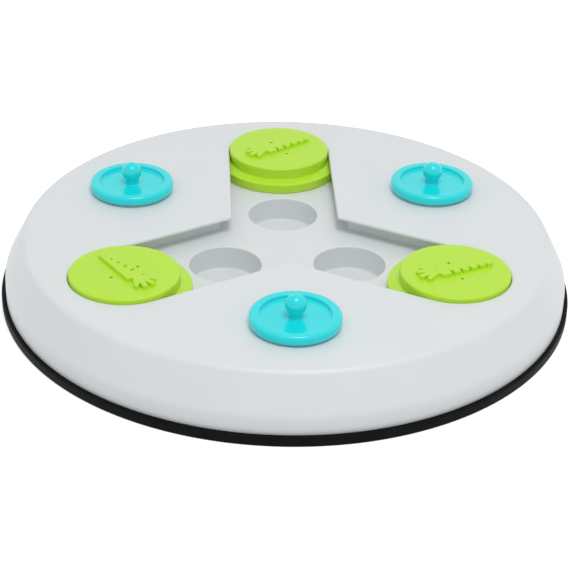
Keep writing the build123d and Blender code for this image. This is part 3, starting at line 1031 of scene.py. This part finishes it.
# Gloss of a polished mould: small bright highlights on the ball and along the rim
turquoise_abs = moulded_plastic(
    "polished_abs_turquoise",
    TURQUOISE,
    roughness=0.2,
    grain=0.6,
    grain_depth=0.002,
    sink_depth=0.15,
)
ball_meets_peg = degrees(asin(PEG_R / BALL_R)) - 90
knob_section = arc((0, BALL_Z), BALL_R, 90, ball_meets_peg, steps=24)[1:]
lid_section = knob_section[:-1] + rounded(
    [
        knob_section[-1] + (0,),
        (PEG_R, FACE_Z, PEG_FILLET),
        (FACE_R, FACE_Z, FACE_FILLET),
        (FACE_R, LID_Z + LID_H, FACE_EDGE),
        (LID_R, LID_Z + LID_H, LID_EDGE),
        (LID_R, LID_Z, LID_FOOT_EDGE),
        (SPIGOT_R, LID_Z, SEAT_FILLET),
        (SPIGOT_R, LID_Z - SPIGOT_H, SPIGOT_EDGE),
        (SPIGOT_R - SPIGOT_T, LID_Z - SPIGOT_H, SPIGOT_EDGE),
        (SPIGOT_R - SPIGOT_T, FACE_Z - FACE_T, ROOF_FILLET),
        (SPIGOT_R - SPIGOT_T - ROOF_BAND, FACE_Z - FACE_T, 0),
    ]
)
for name, turn in zip(("right", "left", "front"), LID_TURNS):
    at = polar(LID_D, turn)
    bm = bmesh.new()
    rows = lathe(bm, lid_section, count=128, at=at)
    stack(bm, rows)
    crown = bm.verts.new((at[0], at[1], BALL_Z + BALL_R))
    for a, b in zip(rows[0], rows[0][1:] + rows[0][:1]):
        bm.faces.new((crown, a, b))
    fill(bm, [rows[-1]], FACE_Z - FACE_T, spacing=4)
    lid = make_piece(f"lid_{name}_moulding", bm, turquoise_abs)
    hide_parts(f"lid_{name}")
    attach(lid, f"lid_{name}")


# ---- Studio ---------------------------------------------------------------------------------
# A white paper sweep inside a light tent, with one soft box overhead. The sweep keeps the
# object's shadow, and what the camera sees of it otherwise is plain white. Places are in metres.
SWEEP_HALF = 6.0
PAPER = "F4F4F4"
PAPER_GLOW = 0.45  # brings the paper up to white where the camera sees it
TENT_STRENGTH = 0.68
SOFT_BOX_PLACE = (0.12, -0.38, 1.2)
SOFT_BOX_SIZE = 0.45
SOFT_BOX_WATTS = 5.4
CAMERA_PLACE = (-0.04526, -0.79363, 0.45722)
CAMERA_AZIMUTH = -3.264
CAMERA_ELEVATION = 29.906
CAMERA_ROLL = 1.417
CAMERA_LENS = 107.9
CAMERA_SENSOR = 36
CAMERA_REACH = 50


def seen_straight(tree):
    """1 for what the camera sees directly, in a reflection or through something clear."""
    ray = add(tree, "ShaderNodeLightPath")
    sharp = {0: (ray, "Is Camera Ray"), 1: (ray, "Is Glossy Ray")}
    seen = add(tree, "ShaderNodeMath", {"operation": "MAXIMUM"}, sharp)
    clear = {0: (seen, "Value"), 1: (ray, "Is Transmission Ray")}
    return add(tree, "ShaderNodeMath", {"operation": "MAXIMUM"}, clear)


white_paper = bpy.data.materials.new("white_paper_sweep")
tree = empty_tree(white_paper)
paper = add(tree, "ShaderNodeBsdfDiffuse", inputs={"Color": linear(PAPER)})
glow = add(
    tree,
    "ShaderNodeEmission",
    inputs={"Color": linear("FFFFFF"), "Strength": PAPER_GLOW},
)
seen = seen_straight(tree)
both = add(tree, "ShaderNodeAddShader", inputs={0: (paper, "BSDF"), 1: (glow, "Emission")})
floor_look = add(
    tree,
    "ShaderNodeMixShader",
    inputs={0: (seen, "Value"), 1: (paper, "BSDF"), 2: (both, "Shader")},
)
add(tree, "ShaderNodeOutputMaterial", inputs={"Surface": (floor_look, "Shader")})

bm = bmesh.new()
bmesh.ops.create_grid(bm, x_segments=1, y_segments=1, size=SWEEP_HALF)
sweep_mesh = bpy.data.meshes.new("floor_sweep")
bm.to_mesh(sweep_mesh)
bm.free()
sweep_mesh.materials.append(white_paper)
floor_sweep = bpy.data.objects.new("floor_sweep", sweep_mesh)
bpy.context.scene.collection.objects.link(floor_sweep)

world = bpy.data.worlds.new("light_tent")
bpy.context.scene.world = world
tree = empty_tree(world)
tent, white = (
    add(tree, "ShaderNodeBackground", inputs={"Color": linear("FFFFFF"), "Strength": strength})
    for strength in (TENT_STRENGTH, 1.0)
)
seen = seen_straight(tree)
sky = add(
    tree,
    "ShaderNodeMixShader",
    inputs={0: (seen, "Value"), 1: (tent, "Background"), 2: (white, "Background")},
)
add(tree, "ShaderNodeOutputWorld", inputs={"Surface": (sky, "Shader")})

lamp = bpy.data.lights.new("overhead_soft_box", "AREA")
lamp.size = SOFT_BOX_SIZE
lamp.energy = SOFT_BOX_WATTS
soft_box = bpy.data.objects.new("overhead_soft_box", lamp)
soft_box.location = SOFT_BOX_PLACE
soft_box.rotation_mode = "QUATERNION"
soft_box.rotation_quaternion = (-soft_box.location).to_track_quat("-Z", "Y")  # to the middle
bpy.context.scene.collection.objects.link(soft_box)

camera = bpy.data.objects.new("camera", bpy.data.cameras.new("camera"))
camera.data.lens = CAMERA_LENS
camera.data.sensor_width = CAMERA_SENSOR
camera.data.clip_end = CAMERA_REACH
camera.location = CAMERA_PLACE
azimuth, elevation = radians(CAMERA_AZIMUTH), radians(CAMERA_ELEVATION)
ahead = Vector((-sin(azimuth) * cos(elevation), cos(azimuth) * cos(elevation), -sin(elevation)))
roll = Quaternion((0, 0, 1), radians(CAMERA_ROLL))
camera.rotation_mode = "QUATERNION"
camera.rotation_quaternion = ahead.to_track_quat("-Z", "Y") @ roll
bpy.context.scene.collection.objects.link(camera)
bpy.context.scene.camera = camera
bpy.context.scene.view_settings.view_transform = "Standard"
